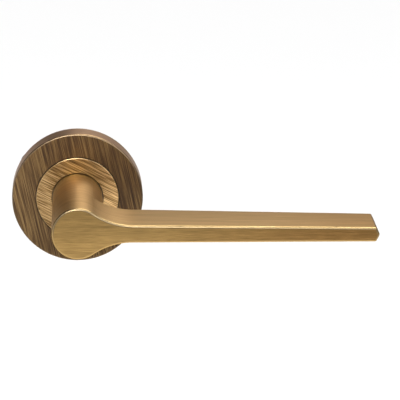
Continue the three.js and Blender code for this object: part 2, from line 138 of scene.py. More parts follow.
DRIVER_FRONT, DRIVER_BACK = -8.4, -7.4
DRIVER_R = 12.4  # the keyed disc behind the lever's shoulder
TAB_ROOT_R = 11.0  # where the stop tab and the lug start, well inside the disc
TURN = 40  # of the lever, in degrees
STOP_TAB_ANGLE = -TURN / 2
STOP_TAB_R = 14.2
STOP_TAB_HALF = 2.2
LUG_ANGLE = 84  # the lug that winds the spring
LUG_INNER_R, LUG_R = 12.0, 12.7
LUG_HALF = 1.5
LUG_BACK = -5.4
CLIP_R = 9.8
CLIP_OPENING = 26  # half the circlip's opening, in degrees
CLIP_EYE_ANGLE = 35
CLIP_EYE_PLACE_R = 9.3  # from the axis to the middle of an eye
CLIP_EYE_R, CLIP_EYE_HOLE_R = 1.9, 0.75

SPRING_MEAN_R = 10.8
SPRING_WIDTH, SPRING_STRIP = 1.8, 0.8
SPRING_PITCH = 0.84
SPRING_FIXED_ANGLE = 180  # angles run from +Z towards +X, as the lever turns
SPRING_MOVING_ANGLE = 97 + 2 * 360
SPRING_FIXED_LEG_R = 14.4
SPRING_SLOT_HALF = 1.1

BOLT_X = (high("through_bolt_right", X) + low("through_bolt_right", X)) / 2
BOLT_SEAT = -3.2
BOLT_R = 1.9
BOLT_HOLE_R = BOLT_R + 0.4
NUT_BORE_R = BOLT_R + 0.25
BOLT_HEAD_R = high("through_bolt_right", X) - BOLT_X
BOLT_HEAD = 2.6
COUNTERBORE_R = 4.0
BOLT_BOSS_R, BOLT_BOSS_FRONT = 4.6, -6.2
STUD_R = 3.7
WASHER_R = 3.7
NUT_R, NUT_HEAD_R, NUT_HEAD = 3.2, 4.6, 2.2
WOOD_SCREW_R, WOOD_SCREW_HEAD_R = 1.9, 3.4
WOOD_SCREW_SUNK = -0.6  # where the countersink ends


# ---------------------------------------------------------------- curves and meshes

def arc(x, z, radius, start, end, steps):
    """Points along an arc, its angles in degrees from the first axis towards the second."""
    angles = [math.radians(start + (end - start) * i / steps) for i in range(steps + 1)]
    return [(x + radius * math.cos(a), z + radius * math.sin(a)) for a in angles]


def softened(corners, radius=0.15, steps=4):
    """A closed profile with each corner rounded. A corner is (a, b) or (a, b, its own radius)."""
    points = []
    for i, corner in enumerate(corners):
        here = Vector(corner[:2])
        before = Vector(corners[i - 1][:2]) - here
        after = Vector(corners[(i + 1) % len(corners)][:2]) - here
        wanted = corner[2] if len(corner) > 2 else radius
        half = before.angle(after) / 2
        reach = min(wanted / math.tan(half), 0.48 * before.length, 0.48 * after.length)
        if wanted == 0:
            points.append(tuple(here))
            continue
        round_r = reach * math.tan(half)
        halfway = (before.normalized() + after.normalized()).normalized()
        middle = here + halfway * (round_r / math.sin(half))
        first = here + before.normalized() * reach - middle
        last = here + after.normalized() * reach - middle
        turn = math.atan2(first.cross(last), first.dot(last))
        for k in range(steps + 1):
            spoke = Matrix.Rotation(turn * k / steps, 2) @ first
            points.append(tuple(middle + spoke))
    return points


def make_piece(name, vertices, faces, face_slots=None):
    """A mesh object from points in millimetres, its faces turned outwards."""
    mesh = bpy.data.meshes.new(name)
    mesh.from_pydata([[c * MM for c in v] for v in vertices], [], faces)
    if face_slots:
        mesh.polygons.foreach_set("material_index", face_slots)
    built = bmesh.new()
    built.from_mesh(mesh)
    bmesh.ops.remove_doubles(built, verts=built.verts, dist=1e-7)
    bmesh.ops.recalc_face_normals(built, faces=built.faces)
    built.to_mesh(mesh)
    built.free()
    piece = bpy.data.objects.new(name, mesh)
    bpy.context.scene.collection.objects.link(piece)
    return piece


def turned(name, profile, facets=FACETS, ripple=None):
    """Turns a closed profile of (radius, y) round the Y axis.
    ripple gives the radius to use instead of r at (r, y, angle)."""
    vertices, rings = [], []
    for r, y in profile:
        on_axis = r < 1e-6
        ring = []
        for k in range(1 if on_axis else facets):
            a = 2 * math.pi * k / facets
            radius = ripple(r, y, a) if ripple and not on_axis else r
            ring.append(len(vertices))
            vertices.append((radius * math.sin(a), y, radius * math.cos(a)))
        rings.append(ring)
    faces = []
    for here, after in zip(rings, rings[1:] + rings[:1]):
        if len(here) == len(after) == 1:
            continue
        for k in range(facets):
            n = (k + 1) % facets
            first, second = k % len(here), n % len(here)
            third, fourth = n % len(after), k % len(after)
            corners = [here[first], here[second], after[third], after[fourth]]
            faces.append(list(dict.fromkeys(corners)))
    return make_piece(name, vertices, faces)


def disc(name, radius, y0, y1, facets=64):
    """A disc or a rod round the Y axis."""
    return turned(name, [(0, y0), (radius, y0), (radius, y1), (0, y1)], facets)


def soft_ring(name, inner, outer, y0, y1, rounding, facets=FACETS):
    """A plain ring with rounded edges."""
    corners = [(inner, y0), (outer, y0), (outer, y1), (inner, y1)]
    return turned(name, softened(corners, rounding), facets)


def prism(name, outline, y_front, y_back):
    """A closed outline in X and Z between two depths."""
    count = len(outline)
    vertices = [(x, y, z) for y in (y_front, y_back) for x, z in outline]
    faces = [list(range(count)), list(range(2 * count - 1, count - 1, -1))]
    for i in range(count):
        n = (i + 1) % count
        faces.append([n, i, i + count, n + count])
    return make_piece(name, vertices, faces)


def block(name, corner, opposite):
    """A block between two opposite corners."""
    x0, y0, z0 = corner
    x1, y1, z1 = opposite
    return prism(name, [(x0, z0), (x1, z0), (x1, z1), (x0, z1)], y0, y1)


def tab(name, degrees, inner, outer, half_width, y0, y1):
    """A block standing at an angle round the axis, which runs from +Z towards +X."""
    piece = block(name, (-half_width, y0, inner), (half_width, y1, outer))
    piece.data.transform(Matrix.Rotation(math.radians(degrees), 4, "Y"))
    return piece


def sector(name, inner, outer, start, end, y0, y1):
    """A sector of a ring, its angles from +Z towards +X."""
    outline = arc(0, 0, outer, 90 - end, 90 - start, 24) + arc(0, 0, inner, 90 - start, 90 - end, 24)
    return prism(name, outline, y0, y1)


def moved(piece, x=0.0, y=0.0, z=0.0):
    """Shifts a piece by a distance in millimetres."""
    piece.data.transform(Matrix.Translation(Vector((x, y, z)) * MM))
    return piece


def pointed_down(piece):
    """Turns a piece made along +Y so that it runs along -Z."""
    piece.data.transform(Matrix.Rotation(math.radians(-90), 4, "X"))
    return piece


def apply_modifiers(piece):
    """Makes the piece's modifiers part of its mesh."""
    graph = bpy.context.evaluated_depsgraph_get()
    built = bpy.data.meshes.new_from_object(piece.evaluated_get(graph))
    piece.modifiers.clear()
    piece.data = built


def combine(piece, operation, others):
    """Joins or cuts a piece with others, which are used up."""
    for other in others:
        modifier = piece.modifiers.new("combine", "BOOLEAN")
        modifier.operation = operation
        modifier.solver = "EXACT"
        modifier.object = other
        apply_modifiers(piece)
        bpy.data.objects.remove(other)
    return piece


def join(piece, *others):
    return combine(piece, "UNION", others)


def cut(piece, *others):
    return combine(piece, "DIFFERENCE", others)


def bevel(piece, width, segments=2):
    """Rounds a piece's sharp edges."""
    modifier = piece.modifiers.new("bevel", "BEVEL")
    modifier.width = width * MM
    modifier.segments = segments
    modifier.limit_method = "ANGLE"
    modifier.angle_limit = math.radians(40)
    apply_modifiers(piece)
    return piece


def shade(piece, sharp_over=50):
    """Smooth shading that keeps flat faces flat and edges over an angle sharp."""
    piece.data.polygons.foreach_set("use_smooth", [True] * len(piece.data.polygons))
    piece.data.set_sharp_from_angle(angle=math.radians(sharp_over))
    modifier = piece.modifiers.new("normals", "WEIGHTED_NORMAL")
    modifier.keep_sharp = True
    modifier.weight = 80
    apply_modifiers(piece)


def body_of(node):
    """The moving body that a CAD node belongs to."""
    bodies = frame["record"]["behaviour"]["bodies"]
    return next(body for body, members in bodies.items() if node in members)


def stand_for(piece, node, *materials):
    """Finishes a piece: shades it, gives it its materials and lets it stand for its CAD node."""
    shade(piece)
    for material in materials:
        piece.data.materials.append(material)
    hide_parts(node)
    if node != "return_spring":
        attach(piece, body_of(node))
    return piece


# ---------------------------------------------------------------- materials

def linear(*srgb):
    """An 8-bit sRGB colour as Blender's linear colour."""
    parts = [c / 255 for c in srgb]
    return [c / 12.92 if c <= 0.04045 else ((c + 0.055) / 1.055) ** 2.4 for c in parts] + [1.0]


def add(tree, kind, inputs=None, **settings):
    """A new node with its settings and its inputs, each a value or another node's output."""
    node = tree.nodes.new(kind)
    for key, value in settings.items():
        setattr(node, key, value)
    for key, value in (inputs or {}).items():
        if isinstance(value, bpy.types.NodeSocket):
            tree.links.new(value, node.inputs[key])
        else:
            node.inputs[key].default_value = value
    return node


def new_material(name):
    """A material with one Principled shader, its node tree and the shader."""
    material = bpy.data.materials.new(name)
    material.use_nodes = True
    tree = material.node_tree
    tree.nodes.clear()
    shader = add(tree, "ShaderNodeBsdfPrincipled")
    output = add(tree, "ShaderNodeOutputMaterial")
    tree.links.new(shader.outputs[0], output.inputs[0])
    return material, tree, shader


def noise(tree, vector, frequency, detail=2.0, seed=0.0):
    """Noise whose frequency along each axis is in cycles per millimetre."""
    stretched = add(
        tree,
        "ShaderNodeMapping",
        {"Vector": vector, "Scale": [f / MM for f in frequency], "Location": (seed, seed, seed)},
    )
    return add(
        tree, "ShaderNodeTexNoise", {"Vector": stretched.outputs[0], "Scale": 1.0, "Detail": detail}
    ).outputs[0]


def weighted(tree, terms):
    """The sum of values times their weights."""
    total = None
    for value, weight in terms:
        part = add(tree, "ShaderNodeMath", {0: value, 1: weight}, operation="MULTIPLY").outputs[0]
        if total is not None:
            part = add(tree, "ShaderNodeMath", {0: total, 1: part}, operation="ADD").outputs[0]
        total = part
    return total


def ramp(tree, value, stops):
    """A colour ramp with a stop at each (place, colour)."""
    node = add(tree, "ShaderNodeValToRGB", {0: value})
    elements = node.color_ramp.elements
    while len(elements) < len(stops):
        elements.new(0.5)
    for element, (place, colour) in zip(elements, stops):
        element.position = place
        element.color = colour
    return node.outputs[0]


def shades(colour, contrast):
    """A darker, a middle and a lighter shade of a linear colour."""
    return [[c * k for c in colour] + [1.0] for k in (1 - contrast, 1.0, 1 + contrast)]


def even(gain):
    """The same gain for red, green and blue."""
    return (gain, gain, gain)


def brushed_metal(name, tones, fine, broad, patches=(0.05, 0.05, 0.05), tilt=0.0,
                  weights=(0.5, 0.35, 0.15), spread=(0.36, 0.64), roughness=(0.27, 0.34), scratch=0.1,
                  edge_tint=(1.0, 1.0, 1.0), painted_shading=()):
    """Metal brushed along one direction: three tones from dark to light, and the frequencies of the
    fine scratches, of the broad streaks and of the patches. tilt turns the brushing in the XZ plane,
    edge_tint is the colour of a glancing reflection, and painted_shading lists painted light and shade:
    along an axis, from one place in millimetres to another, from one gain of the colour to another."""
    material, tree, shader = new_material(name)
    place = add(tree, "ShaderNodeTexCoord").outputs["Object"]
    turned_place = add(
        tree, "ShaderNodeMapping", {"Vector": place, "Rotation": (0, math.radians(tilt), 0)}
    ).outputs[0]
    scratches = noise(tree, turned_place, fine, 3.0)
    streaks = noise(tree, turned_place, broad, 2.0, seed=7.3)
    blotches = noise(tree, place, patches, 2.0, seed=3.1)
    tone = weighted(tree, zip((scratches, streaks, blotches), weights))
    low_end, high_end = spread
    stops = [(low_end, tones[0]), ((low_end + high_end) / 2, tones[1]), (high_end, tones[2])]
    shader.inputs["Metallic"].default_value = 1.0
    shader.inputs["Specular Tint"].default_value = (*edge_tint, 1.0)
    colour = ramp(tree, tone, stops)
    # Painted light and shade: each entry scales the colour from one gain to another along an axis.
    for axis, start, end, start_gain, end_gain in painted_shading:
        along = add(tree, "ShaderNodeSeparateXYZ", {0: place}).outputs[axis]
        part = add(
            tree,
            "ShaderNodeMapRange",
            {"Value": along, "From Min": start * MM, "From Max": end * MM},
            interpolation_type="SMOOTHSTEP",
        ).outputs[0]
        change = Vector(end_gain) - Vector(start_gain)
        gain = add(
            tree,
            "ShaderNodeVectorMath",
            {0: part, 1: change, 2: start_gain},
            operation="MULTIPLY_ADD",
        ).outputs[0]
        colour = add(
            tree, "ShaderNodeVectorMath", {0: colour, 1: gain}, operation="MULTIPLY"
        ).outputs[0]
    tree.links.new(colour, shader.inputs["Base Color"])
    dullness = add(
        tree,
        "ShaderNodeMapRange",
        {
            "Value": tone,
            "From Min": low_end,
            "From Max": high_end,
            "To Min": roughness[1],
            "To Max": roughness[0],
        },
    )
    tree.links.new(dullness.outputs[0], shader.inputs["Roughness"])
    raised = add(
        tree, "ShaderNodeBump", {"Height": scratches, "Strength": scratch, "Distance": 0.01 * MM}
    )
    tree.links.new(raised.outputs[0], shader.inputs["Normal"])
    return material


GLANCE = (0.7, 0.62, 0.54)  # a glancing reflection in the lighter brass
lever_face = brushed_metal(
    "lever_face",
    shades((0.213, 0.133, 0.047), 0.42),
    fine=(0.15, 1.5, 8.0),
    broad=(0.04, 0.4, 1.4),
    weights=(0.65, 0.25, 0.1),
    edge_tint=GLANCE,
    # Painted light and shade: lighter near the head and darker towards the tip, darker at the head's top
    # and lighter at its bottom.
    painted_shading=[(X, 15, 105, even(1.35), (0.98, 0.86, 0.8)), (Z, 9, -10, even(0.78), even(1.17))],
)
lever_side = brushed_metal(
    "lever_side",
    shades((0.198, 0.127, 0.059), 0.36),
    fine=(0.07, 3.5, 0.07),
    broad=(0.02, 0.8, 0.02),
    edge_tint=GLANCE,
    roughness=(0.28, 0.35),
    # Painted light and shade: the neck lighter on its flanks, the blade darker towards its tip and
    # towards its back edge, and the neck paler towards the rose.
    painted_shading=[
        (X, -9, -1, even(1.4), even(1.0)),
        (X, 1, 6, even(1.0), even(1.1)),
        (X, 6, 26, even(1.28), even(0.84)),
        (X, 70, 110, even(1.0), (0.9, 0.85, 0.8)),
        (Y, LEVER_FRONT, LEVER_FRONT + 22, even(1.04), even(0.9)),
        (Y, -28, -11, even(1.0), (1.1, 1.4, 1.75)),
    ],
)
lever_edge = brushed_metal(
    "lever_edge",
    shades((0.108, 0.079, 0.043), 0.06),
    fine=(0.05, 1.0, 0.05),
    broad=(0.02, 0.4, 0.02),
    roughness=(0.34, 0.4),
    scratch=0.0,
    edge_tint=(0.72, 0.56, 0.32),
    # Painted highlight: the lower rounded edges are made brighter.
    painted_shading=[(Z, 4, -4, even(1.0), (2.3, 2.05, 1.5))],
)
rose_face = brushed_metal(
    "rose_face",
    [(0.027, 0.017, 0.012, 1.0), (0.079, 0.046, 0.022, 1.0), (0.205, 0.13, 0.056, 1.0)],
    fine=(0.07, 1.0, 5.0),
    broad=(0.025, 0.5, 1.5),
    tilt=-77,
    weights=(0.6, 0.3, 0.1),
    spread=(0.4, 0.6),
    roughness=(0.34, 0.44),
    edge_tint=(0.6, 0.5, 0.35),
    # Painted light: lighter on the left of the face.
    painted_shading=[(X, -24, -12, even(1.12), even(1.0))],
)
rose_edge = brushed_metal(
    "rose_edge",
    shades((0.085, 0.06, 0.036), 0.1),
    fine=(0.05, 1.0, 0.05),
    broad=(0.02, 0.4, 0.02),
    roughness=(0.36, 0.42),
    scratch=0.0,
    edge_tint=(0.65, 0.5, 0.35),
)
rose_side = brushed_metal(
    "rose_side",
    shades((0.175, 0.118, 0.08), 0.1),
    fine=(0.05, 3.0, 0.05),
    broad=(0.02, 0.8, 0.02),
    edge_tint=(0.72, 0.56, 0.46),
)
ring_face = brushed_metal(
    "ring_face",
    [(0.075, 0.041, 0.015, 1.0), (0.228, 0.135, 0.055, 1.0), (0.53, 0.355, 0.165, 1.0)],
    fine=(0.12, 1.0, 4.2),
    broad=(0.05, 0.5, 1.2),
    tilt=-27,
    weights=(0.65, 0.25, 0.1),
    spread=(0.4, 0.6),
    roughness=(0.31, 0.4),
    edge_tint=GLANCE,
    # Painted shade and light: darker towards the top and lighter towards the right.
    painted_shading=[(Z, 4, 14, even(1.0), even(0.8)), (X, 4, 13, even(0.97), even(1.45))],
)
ring_edge = brushed_metal(
    "ring_edge",
    shades((0.2, 0.132, 0.064), 0.08),
    fine=(0.05, 1.0, 0.05),
    broad=(0.02, 0.4, 0.02),
    scratch=0.0,
    edge_tint=GLANCE,
)
zinc = brushed_metal(
    "zinc",
    shades((0.2, 0.2, 0.21), 0.15),
    fine=(2.0, 2.0, 2.0),
    broad=(0.3, 0.3, 0.3),
    roughness=(0.42, 0.52),
)
steel = brushed_metal(
    "steel",
    shades((0.19, 0.19, 0.2), 0.12),
    fine=(0.3, 3.0, 0.3),
    broad=(0.1, 0.6, 0.1),
    roughness=(0.32, 0.42),
    scratch=0.05,
)
spring_steel = brushed_metal(
    "spring_steel", shades((0.06, 0.062, 0.07), 0.2), fine=(0.3, 3.0, 0.3), broad=(0.1, 0.5, 0.1)
)


def plain_material(name, tones, roughness, grain, gloss=0.5):
    """A moulded material with a fine matt grain."""
    material, tree, shader = new_material(name)
    place = add(tree, "ShaderNodeTexCoord").outputs["Object"]
    specks = noise(tree, place, (grain, grain, grain), 3.0)
    tree.links.new(ramp(tree, specks, [(0.3, tones[0]), (0.7, tones[1])]), shader.inputs["Base Color"])
    shader.inputs["Roughness"].default_value = roughness
    shader.inputs["Specular IOR Level"].default_value = gloss
    raised = add(tree, "ShaderNodeBump", {"Height": specks, "Strength": 0.2, "Distance": 0.02 * MM})
    tree.links.new(raised.outputs[0], shader.inputs["Normal"])
    return material


nylon = plain_material("nylon", [linear(222, 220, 210), linear(236, 234, 226)], 0.5, 2.0)
# A nylon wear ring, black and nearly without gloss so that the gap round the neck reads dark: partly
# painted shade.
black_nylon = plain_material("black_nylon", [linear(26, 24, 22), linear(38, 36, 34)], 0.8, 2.0, 0.1)
rubber = plain_material("rubber", [linear(20, 20, 20), linear(34, 34, 34)], 0.7, 3.0)


# ---------------------------------------------------------------- the lever

HEAD_STEP = 3  # degrees from one point of the head's arc to the next


def lever_outline():
    """The head's arc and the rest of the outline from the front, as (x, z), anticlockwise."""
    hollow_z = BLADE_ROOT_HALF + HEAD_FILLET
    hollow_x = math.sqrt((NECK_R + HEAD_FILLET) ** 2 - hollow_z**2)
    leave = math.degrees(math.atan2(hollow_z, hollow_x))
    first = HEAD_STEP * math.ceil(leave / HEAD_STEP)
    head = arc(0, 0, NECK_R, leave, leave, 1)[:1]
    head += arc(0, 0, NECK_R, first, 360 - first, (360 - 2 * first) // HEAD_STEP)
    head += arc(0, 0, NECK_R, -leave, -leave, 1)[:1]
    tilt = math.radians(NOSE_TILT)
    nose_x = REACH - NOSE_R
    corner_z = BLADE_TIP_HALF - CORNER_R
    corner_x = nose_x + (NOSE_R - CORNER_R - corner_z * math.sin(tilt)) / math.cos(tilt)
    hollow = arc(hollow_x, -hollow_z, HEAD_FILLET, 180 - leave, 90, 24)[1:]
    along = 30
    slope = (BLADE_ROOT_HALF - BLADE_TIP_HALF) / (corner_x - hollow_x)
    places = [BLADE_TAPER_FROM + (corner_x - BLADE_TAPER_FROM) * i / along for i in range(along)]
    edge = [(x, -BLADE_ROOT_HALF + slope * (x - hollow_x)) for x in places]
    corner = arc(corner_x, -corner_z, CORNER_R, -90, -NOSE_TILT, 6)
    nose = arc(nose_x, 0, NOSE_R, -NOSE_TILT, NOSE_TILT, 6)
    under = hollow + edge + corner
    over = [(x, -z) for x, z in reversed(under)]
    return head, under + nose + over


def inward(points):
    """For each point of a closed anticlockwise outline, the step that insets it by one."""
    steps = []
    for i, here in enumerate(points):
        here = Vector(here)
        into = (here - Vector(points[i - 1])).normalized()
        out = (Vector(points[(i + 1) % len(points)]) - here).normalized()
        n1, n2 = Vector((-into.y, into.x)), Vector((-out.y, out.x))
        steps.append((n1 + n2) / (1 + n1.dot(n2)))
    return steps


def blade_back(x):
    """The depth of the blade's back face at a distance along the blade."""
    share = max(0.0, x - BLADE_TAPER_FROM) / (REACH - BLADE_TAPER_FROM)
    return BLADE_ROOT_BACK + (BLADE_TIP_BACK - BLADE_ROOT_BACK) * share


class MeshBuilder:
    """Collects points, rings of points and faces, each face with its material slot."""

    def __init__(self):
        self.vertices, self.faces, self.slots = [], [], []

    def points(self, places):
        start = len(self.vertices)
        self.vertices += places
        return list(range(start, len(self.vertices)))

    def face(self, corners, slot=0):
        corners = list(dict.fromkeys(corners))
        if len(corners) > 2:
            self.faces.append(corners)
            self.slots.append(slot)

    def strip(self, one, other, slot=0, closed=True):
        """Quads between two rows of the same length."""
        for i in range(len(one) - (0 if closed else 1)):
            n = (i + 1) % len(one)
            self.face([one[i], one[n], other[n], other[i]], slot)


FACE, SIDE, EDGE = 0, 1, 2  # the order of a brushed piece's materials
ROUNDING_STEPS = 6


def add_front(mesh, outline, steps):
    """The front face and its rounded edge. Gives the row of points where the wall starts."""
    rows = []
    for k in range(ROUNDING_STEPS + 1):
        a = math.radians(90) * k / ROUNDING_STEPS
        inset = FRONT_ROUNDING * (1 - math.sin(a))
        y = LEVER_FRONT + FRONT_ROUNDING * (1 - math.cos(a))
        moved_in = [(x + s.x * inset, y, z + s.y * inset) for (x, z), s in zip(outline, steps)]
        rows.append(mesh.points(moved_in))
    mesh.face(rows[0], FACE)
    for one, other in zip(rows, rows[1:]):
        mesh.strip(one, other, EDGE)
    return rows[-1]


def add_blade(mesh, blade, steps, wall, seam):
    """The blade's wall and its rounded back edge, which fades out where the blade meets the neck.
    Gives the row of points round the blade's flat back."""
    rows = []
    for k in range(ROUNDING_STEPS + 1):
        a = math.radians(90) * k / ROUNDING_STEPS
        row = [seam[1]]
        for (x, z), s in zip(blade, steps):
            room = math.hypot(x, z) - NECK_R
            r = BACK_ROUNDING * min(1.0, max(0.0, 0.8 * room / BACK_ROUNDING))
            inset = r * (1 - math.cos(a))
            y = blade_back(x) - r * (1 - math.sin(a))
            row += mesh.points([(x + s.x * inset, y, z + s.y * inset)])
        rows.append([*row, seam[0]])
    mesh.strip(wall, rows[0], SIDE, closed=False)
    for one, other in zip(rows, rows[1:]):
        mesh.strip(one, other, EDGE, closed=False)
    return rows[-1]


def add_blade_back(mesh, blade, edge, neck_arc):
    """The blade's flat back, in two faces that meet where it starts to narrow."""
    top, bottom = (i for i, (x, _) in enumerate(blade, 1) if abs(x - BLADE_TAPER_FROM) < 1e-6)
    mesh.face(edge[: top + 1] + edge[bottom:] + neck_arc[::-1], FACE)
    mesh.face(edge[top: bottom + 1], FACE)


def round_row(mesh, angles, r, y, flat):
    """A row of points round the axis, cut off by two flats above and below it."""
    around = [math.radians(a) for a in angles]
    return mesh.points([(r * math.cos(a), y, max(-flat, min(flat, r * math.sin(a)))) for a in around])


def square_row(mesh, angles, half, y):
    """A row of points round a square, at the same angles."""
    places = []
    for a in angles:
        c, s = math.cos(math.radians(a)), math.sin(math.radians(a))
        reach = half / max(abs(c), abs(s))
        places.append((reach * c, y, reach * s))
    return mesh.points(places)


def add_neck(mesh, angles, head_count, wall, neck_arc):
    """The neck from the head and the blade's back down to the rounded shoulder."""
    rows = []
    steps = 4
    for k in range(steps + 1):
        a = math.radians(90) * k / steps
        r = NECK_R - SHOULDER_ROUNDING * (1 - math.cos(a))
        y = SHOULDER - SHOULDER_ROUNDING * (1 - math.sin(a))
        rows.append(round_row(mesh, angles, r, y, r))
    ring = rows[0]
    for i in range(head_count - 1):
        extra_low = [neck_arc[0]] if i == head_count - 2 else []
        extra_top = [neck_arc[-1]] if i == 0 else []
        corners = [wall[i], wall[i + 1], *extra_low, ring[i + 1], ring[i], *extra_top]
        mesh.face(corners, SIDE)
    under_blade = [ring[head_count - 1], *ring[head_count:], ring[0]]
    mesh.strip(neck_arc, under_blade, SIDE, closed=False)
    for one, other in zip(rows, rows[1:]):
        mesh.strip(one, other, SIDE)
    return rows[-1]


def add_spigot(mesh, angles, shoulder):
    """The spigot with its flats and its groove, and the square bore for the spindle."""
    turned_rows = [
        (SPIGOT_R, SHOULDER, SPIGOT_FLAT),
        (SPIGOT_R, GROOVE_FRONT, SPIGOT_FLAT),
        (GROOVE_R, GROOVE_FRONT, SPIGOT_FLAT),
        (GROOVE_R, GROOVE_BACK, SPIGOT_FLAT),
        (SPIGOT_R, GROOVE_BACK, SPIGOT_FLAT),
        (SPIGOT_R, SPIGOT_END - SPIGOT_CHAMFER, SPIGOT_FLAT),
        (SPIGOT_R - SPIGOT_CHAMFER, SPIGOT_END, SPIGOT_FLAT - SPIGOT_CHAMFER),
    ]
    square_rows = [
        (BORE_HALF + SPIGOT_CHAMFER, SPIGOT_END),
        (BORE_HALF, SPIGOT_END - SPIGOT_CHAMFER),
        (BORE_HALF, low("spindle", Y) - GAP),
    ]
    rows = [shoulder, *[round_row(mesh, angles, *row) for row in turned_rows]]
    rows += [square_row(mesh, angles, *row) for row in square_rows]
    for one, other in zip(rows, rows[1:]):
        mesh.strip(one, other, SIDE)
    mesh.face(rows[-1], SIDE)


def make_lever():
    """Neck, head and blade as one mesh, with the spigot, the spindle's bore and the screw's hole."""
    head, blade = lever_outline()
    outline = head + blade
    steps = inward(outline)
    mesh = MeshBuilder()
    wall = add_front(mesh, outline, steps)
    head_count = len(head)
    top_leave, low_leave = head[0], head[-1]
    seam = mesh.points([(x, BLADE_ROOT_BACK, z) for x, z in (top_leave, low_leave)])
    blade_wall = [wall[head_count - 1], *wall[head_count:], wall[0]]
    edge = add_blade(mesh, blade, steps[head_count:], blade_wall, seam)

    # The arc where the blade's flat back meets the neck.
    leave = math.degrees(math.atan2(top_leave[1], top_leave[0]))
    widest = HEAD_STEP * int(leave // HEAD_STEP)
    inner_angles = list(range(-widest, widest + 1, HEAD_STEP))
    neck_arc = [seam[1]]
    for a in inner_angles:
        x, z = NECK_R * math.cos(math.radians(a)), NECK_R * math.sin(math.radians(a))
        neck_arc += mesh.points([(x, BLADE_ROOT_BACK, z)])
    neck_arc.append(seam[0])
    add_blade_back(mesh, blade, edge, neck_arc)

    angles = [math.degrees(math.atan2(z, x)) for x, z in head] + inner_angles
    shoulder = add_neck(mesh, angles, head_count, wall, neck_arc)
    add_spigot(mesh, angles, shoulder)
    lever = make_piece("lever_detail", mesh.vertices, mesh.faces, mesh.slots)
    hole_start, hole_end = 3, 12  # inside the spindle's bore, and past the neck
    hole = disc("hole", GRUB_HOLE_R, hole_start, hole_end, SMALL_FACETS)
    return cut(lever, moved(pointed_down(hole), 0, GRUB_Y, 0))


def make_spindle():
    """A square bar with rounded edges and chamfered ends."""
    half, inset = high("spindle", Z), high("spindle", Z) - SPINDLE_CHAMFER
    y0, y1 = low("spindle", Y), high("spindle", Y)
    rows = [(inset, y0), (half, y0 + SPINDLE_CHAMFER), (half, y1 - SPINDLE_CHAMFER), (inset, y1)]
    mesh = MeshBuilder()
    rings = []
    for size, y in rows:
        corners = [(size, size), (-size, size), (-size, -size), (size, -size)]
        rings.append(mesh.points([(x, y, z) for x, z in softened(corners, SPINDLE_ROUNDING)]))
    mesh.face(rings[0])
    mesh.face(rings[-1])
    for one, other in zip(rings, rings[1:]):
        mesh.strip(one, other)
    return make_piece("spindle_detail", mesh.vertices, mesh.faces)


def make_grub_screw():
    """The threaded set screw that comes up through the neck, its socket at the bottom."""
    inner, outer = -high("grub_screw", Z), -low("grub_screw", Z)
    radius, pitch, depth = high("grub_screw", X), 0.8, 0.22
    thread_start, thread_end = inner + 0.5, outer - 0.4

    def thread(r, y, angle):
        if not thread_start < y < thread_end:
            return r
        return r - depth * (0.5 + 0.5 * math.cos(2 * math.pi * y / pitch - angle))

    count = 48
    length = thread_end - thread_start
    wall = [(radius, thread_start + length * i / count) for i in range(count + 1)]
    profile = [(0, inner), (radius - 0.5, inner), *wall, (radius - 0.4, outer), (0, outer)]
    screw = turned("grub_screw_detail", profile, SMALL_FACETS, thread)
    socket_r, socket_depth = 1.45, 2.4
    cut(screw, disc("socket", socket_r, outer - socket_depth, outer + 1, 6))
    return moved(pointed_down(screw), 0, GRUB_Y, 0)


def make_spring_driver():
    """The disc keyed to the spigot, with the stop tab and the lug that winds the spring."""
    rim = [(DRIVER_R, DRIVER_FRONT), (DRIVER_R, DRIVER_BACK)]
    plate = turned("spring_driver_detail", [(0, DRIVER_FRONT), *rim, (0, DRIVER_BACK)])
    join(
        plate,
        tab("stop", STOP_TAB_ANGLE, TAB_ROOT_R, STOP_TAB_R, STOP_TAB_HALF, DRIVER_FRONT, DRIVER_BACK),
        tab("lug_root", LUG_ANGLE, TAB_ROOT_R, LUG_R, LUG_HALF, DRIVER_FRONT, DRIVER_BACK),
        tab("lug", LUG_ANGLE, LUG_INNER_R, LUG_R, LUG_HALF, DRIVER_BACK - 0.1, LUG_BACK),
    )
    hole, flat = SPIGOT_R + GAP, SPIGOT_FLAT + GAP
    outline = [(x, max(-flat, min(flat, z))) for x, z in arc(0, 0, hole, 0, 357.5, 143)]
    cut(plate, prism("key", outline, DRIVER_FRONT - 1, DRIVER_BACK + 1))
    return bevel(plate, 0.08)


def make_circlip():
    """The open retaining ring, with an eye at each end."""
    front, back = low("circlip", Y), high("circlip", Y)
    inner = GROOVE_R + GAP / 2
    band = turned("circlip_detail", [(inner, front), (CLIP_R, front), (CLIP_R, back), (inner, back)])
    opening = (180 - CLIP_OPENING, 180 + CLIP_OPENING)
    wide = 13  # past the outside of the band
    cut(band, sector("opening", 0.5, wide, *opening, front - 1, back + 1))
    for side in (-1, 1):
        a = math.radians(180 + side * CLIP_EYE_ANGLE)
        x, z = CLIP_EYE_PLACE_R * math.sin(a), CLIP_EYE_PLACE_R * math.cos(a)
        join(band, moved(disc("eye", CLIP_EYE_R, front, back, SMALL_FACETS), x, 0, z))
        cut(band, moved(disc("hole", CLIP_EYE_HOLE_R, front - 1, back + 1, 32), x, 0, z))
    cut(band, disc("clear", inner, front - 1, back + 1, FACETS))
    return bevel(band, 0.06)


def make_thrust_washer():
    outer = high("thrust_washer", X)
    y0, y1 = low("thrust_washer", Y), high("thrust_washer", Y)
    return soft_ring("thrust_washer_detail", THRUST_WASHER_BORE_R, outer, y0, y1, 0.1)


# ---------------------------------------------------------------- the rose

